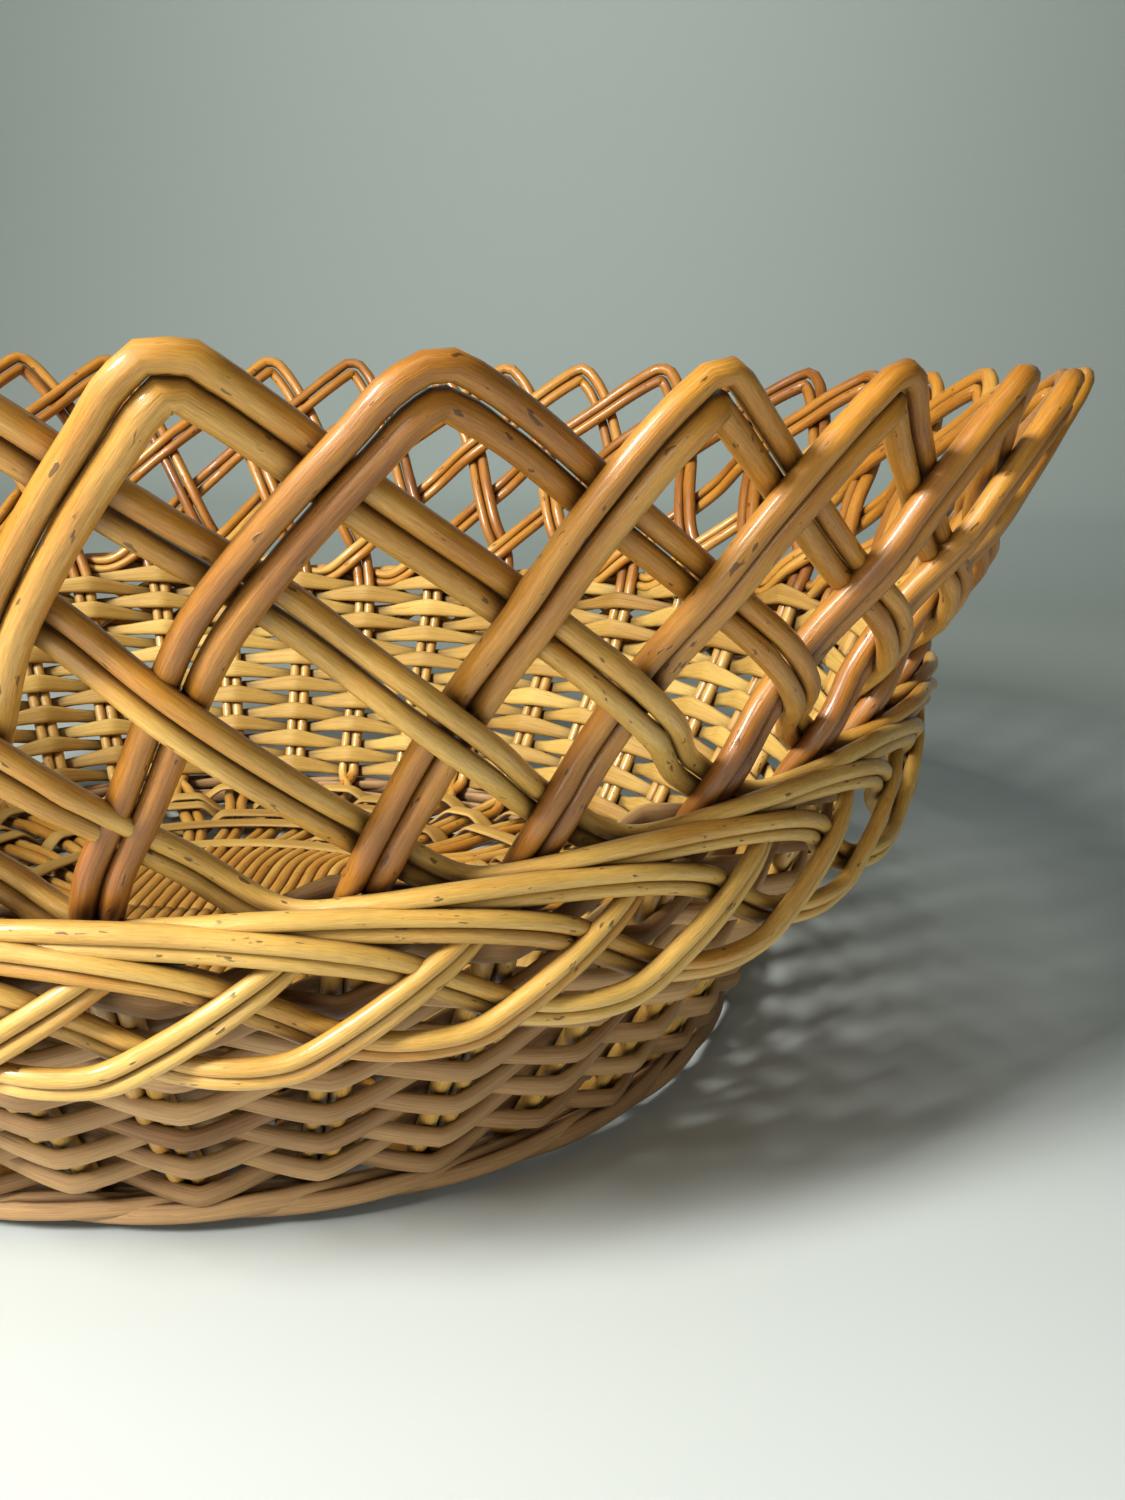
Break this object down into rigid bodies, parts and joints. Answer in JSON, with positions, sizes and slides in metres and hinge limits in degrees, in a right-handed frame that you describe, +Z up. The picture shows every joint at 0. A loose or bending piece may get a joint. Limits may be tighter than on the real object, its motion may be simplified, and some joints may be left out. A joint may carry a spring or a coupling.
{
  "type": "woven fruit basket",
  "caption": "Oval woven willow basket with a flared side of flat strips, an openwork border of arched twin stakes and a plaited band round the outside.",
  "frame": {"origin": "centre of the foot's underside", "axes": "+X along the basket's length, +Z up, out of the mouth"},
  "size_m": [0.3249, 0.3005, 0.1265],
  "materials": {
    "varnished_willow": "glossy clear varnish over golden willow rods",
    "split_willow": "satin split willow strips"
  },
  "bodies": {
    "root": {"stake_pair_01": "varnished_willow", "stake_pair_02": "varnished_willow", "stake_pair_03": "varnished_willow", "stake_pair_04": "varnished_willow", "stake_pair_05": "varnished_willow", "stake_pair_06": "varnished_willow", "stake_pair_07": "varnished_willow", "stake_pair_08": "varnished_willow", "stake_pair_09": "varnished_willow", "stake_pair_10": "varnished_willow", "stake_pair_11": "varnished_willow", "stake_pair_12": "varnished_willow", "stake_pair_13": "varnished_willow", "stake_pair_14": "varnished_willow", "stake_pair_15": "varnished_willow", "stake_pair_16": "varnished_willow", "stake_pair_17": "varnished_willow", "stake_pair_18": "varnished_willow", "stake_pair_19": "varnished_willow", "stake_pair_20": "varnished_willow", "stake_pair_21": "varnished_willow", "stake_pair_22": "varnished_willow", "stake_pair_23": "varnished_willow", "stake_pair_24": "varnished_willow", "stake_pair_25": "varnished_willow", "stake_pair_26": "varnished_willow", "stake_pair_27": "varnished_willow", "stake_pair_28": "varnished_willow", "stake_pair_29": "varnished_willow", "stake_pair_30": "varnished_willow", "stake_pair_31": "varnished_willow", "stake_pair_32": "varnished_willow", "stake_pair_33": "varnished_willow", "stake_pair_34": "varnished_willow", "stake_pair_35": "varnished_willow", "stake_pair_36": "varnished_willow", "stake_pair_37": "varnished_willow", "stake_pair_38": "varnished_willow", "stake_pair_39": "varnished_willow", "stake_pair_40": "varnished_willow", "side_row_01": "split_willow", "side_row_02": "split_willow", "side_row_03": "split_willow", "side_row_04": "split_willow", "side_row_05": "split_willow", "side_row_06": "split_willow", "side_row_07": "split_willow", "side_row_08": "split_willow", "side_row_09": "split_willow", "side_row_10": "split_willow", "side_row_11": "split_willow", "side_row_12": "split_willow", "side_row_13": "split_willow", "side_row_14": "split_willow", "side_row_15": "split_willow", "floor_weave_inner": "split_willow", "floor_weave_middle": "split_willow", "floor_weave_outer": "split_willow", "foot_strand": "split_willow", "upsett_strand": "split_willow"}
  },
  "joints": []
}
